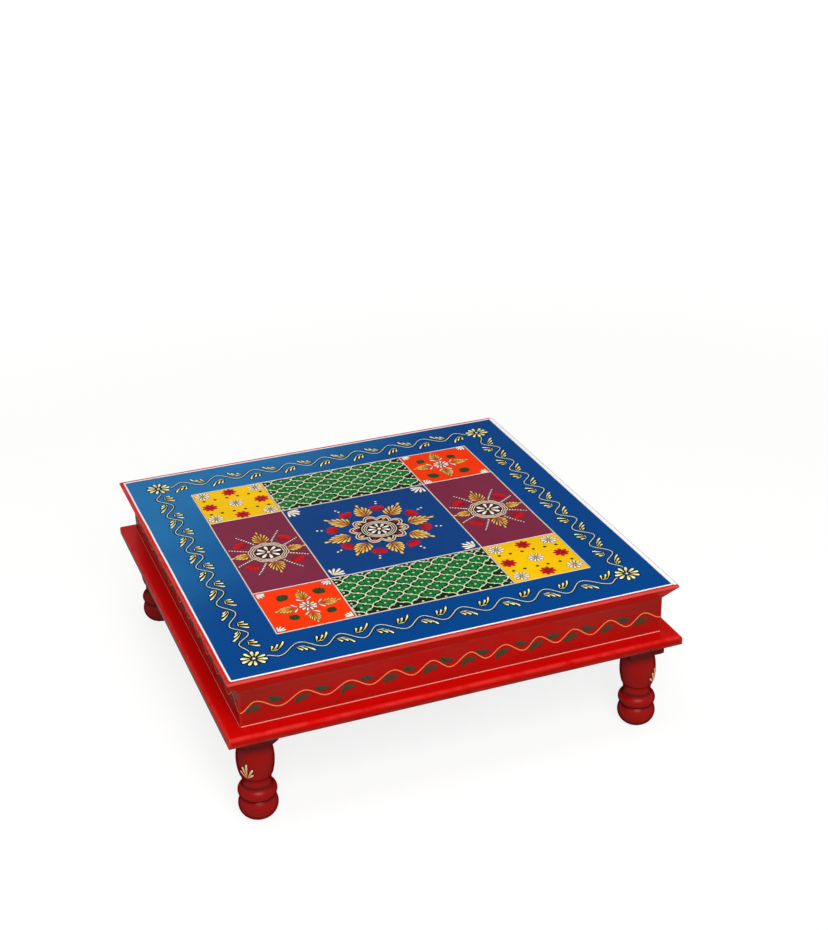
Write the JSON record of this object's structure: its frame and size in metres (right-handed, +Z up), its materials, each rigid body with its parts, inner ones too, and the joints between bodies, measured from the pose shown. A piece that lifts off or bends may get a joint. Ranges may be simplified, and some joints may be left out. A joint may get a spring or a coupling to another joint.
{
  "type": "low table",
  "caption": "Low square table of painted wood: moulded top on a box of aprons, a wider base board and short turned legs.",
  "frame": {"origin": "floor level under the middle of the table", "axes": "+Z up, front face towards -Y, +X to the right seen from the front"},
  "size_m": [0.458, 0.458, 0.1629],
  "materials": {
    "painted_top": "hand-painted board: royal blue border round nine coloured squares, red edge, satin varnish",
    "painted_apron": "red brushed gloss enamel on wood",
    "painted_base": "red brushed gloss enamel on wood",
    "painted_leg": "deep red gloss enamel on turned wood",
    "bare_wood": "unfinished sawn wood",
    "steel": "plain bright wire and screws",
    "cream_relief_paint": "raised cream and ochre cone-piped paint under varnish",
    "white_relief_paint": "raised white cone-piped paint under varnish",
    "coloured_relief_paint": "raised red, green and ochre paint petals and leaves under varnish",
    "orange_line_paint": "raised orange-pink painted line"
  },
  "bodies": {
    "root": {"top_board": "painted_top", "apron_front": "painted_apron", "apron_back": "painted_apron", "apron_left": "painted_apron", "apron_right": "painted_apron", "base_board": "painted_base", "leg_front_left": "painted_leg", "leg_front_right": "painted_leg", "leg_back_right": "painted_leg", "leg_back_left": "painted_leg", "corner_block_front_left": "bare_wood", "corner_block_front_right": "bare_wood", "corner_block_back_right": "bare_wood", "corner_block_back_left": "bare_wood", "leg_wedges": "bare_wood", "base_screws": "steel", "top_nails": "steel", "corner_nails": "steel"}
  },
  "joints": []
}
